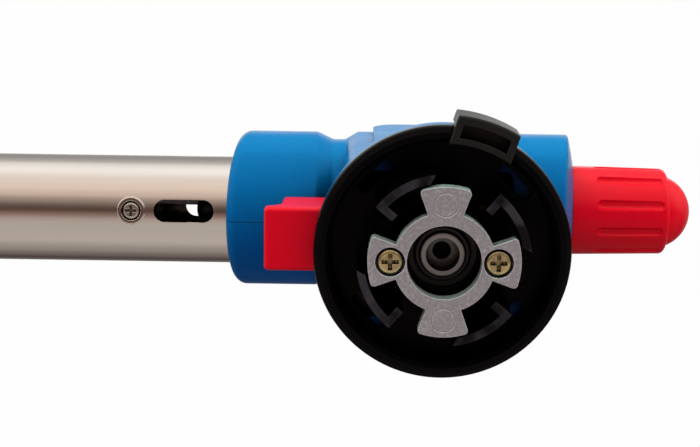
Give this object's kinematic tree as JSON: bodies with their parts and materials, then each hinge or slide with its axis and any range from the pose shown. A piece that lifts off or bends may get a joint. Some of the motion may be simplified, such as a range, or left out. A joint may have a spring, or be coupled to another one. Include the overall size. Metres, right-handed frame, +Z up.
{
  "type": "propane torch",
  "caption": "Clip-on gas torch head with a bayonet cartridge collar, stainless burner tube, ignition trigger and needle-valve knob.",
  "frame": {"origin": "centre of the bayonet plate's lower face, where the cartridge's valve goes in", "axes": "+Z up along the cartridge's axis, +X along the burner tube towards the flame, +Y the torch's left"},
  "size_m": [0.1679, 0.0496, 0.0635],
  "materials": {
    "casing_plastic": "moulded, satin gloss",
    "red_plastic": "moulded, satin gloss",
    "cup_plastic": "moulded, glossy black",
    "tab_plastic": "moulded, matte charcoal",
    "igniter_plastic": "moulded, black",
    "zinc": "die-cast zinc, grainy",
    "zinc_yellow": "yellow zinc plated",
    "nozzle_metal": "turned, dull grey",
    "screw_steel": "zinc plated",
    "spring_steel": "drawn wire",
    "stainless": "polished stainless",
    "brass": "turned",
    "bronze": "sintered",
    "seal_rubber": "matte black",
    "lead_rubber": "black silicone",
    "ceramic_white": "unglazed white"
  },
  "bodies": {
    "torch": {"casing_left": "casing_plastic", "casing_right": "casing_plastic", "casing_screws": "screw_steel", "cartridge_cup": "cup_plastic", "locator_tab": "tab_plastic", "bayonet_plate": "zinc", "plate_screws": "zinc_yellow", "inlet_nozzle": "nozzle_metal", "inlet_seal": "seal_rubber", "inlet_o_ring": "seal_rubber", "inlet_filter": "bronze", "valve_block": "brass", "spindle_o_ring": "seal_rubber", "gland_nut": "brass", "knob_clip": "spring_steel", "jet_pipe": "brass", "gas_jet": "nozzle_metal", "tube_socket": "zinc", "mixer": "brass", "flame_holder": "stainless", "swirl_ring": "stainless", "burner_tube": "stainless", "tube_screw": "screw_steel", "piezo_case": "igniter_plastic", "piezo_return_spring": "spring_steel", "piezo_element": "ceramic_white", "piezo_terminal": "brass", "earth_strap": "brass", "igniter_lead": "lead_rubber", "electrode_insulator": "ceramic_white", "electrode": "spring_steel"},
    "gas_knob": {"knob": "red_plastic"},
    "needle": {"needle_spindle": "screw_steel"},
    "ignition_trigger": {"trigger": "red_plastic", "piezo_plunger": "igniter_plastic", "piezo_hammer_spring": "spring_steel"},
    "hammer": {"piezo_hammer": "screw_steel"}
  },
  "joints": [
    {"name": "knob_turn", "type": "hinge", "parent": "torch", "child": "gas_knob", "pos_m": [-0.034, 0, 0.0497], "axis": [-1, 0, 0], "range_deg": [0, 450]},
    {"name": "needle_lift", "type": "slide", "parent": "gas_knob", "child": "needle", "axis": [-1, 0, 0], "range_m": [0, 0.00125]},
    {"name": "trigger_pull", "type": "slide", "parent": "torch", "child": "ignition_trigger", "axis": [-1, 0, 0], "range_m": [0, 0.005], "stiffness_N_per_m": 1500, "springref_m": -0.002, "deforming": ["piezo_return_spring", "piezo_hammer_spring"]},
    {"name": "hammer_strike", "type": "slide", "parent": "torch", "child": "hammer", "axis": [-1, 0, 0], "range_m": [0, 0.0012]}
  ],
  "couplings": [
    {"joint": "needle_lift", "follows": "knob_turn", "m_per_rad": 0.00015915},
    {"joint": "hammer_strike", "follows": "trigger_pull", "ratio": 0.24}
  ]
}
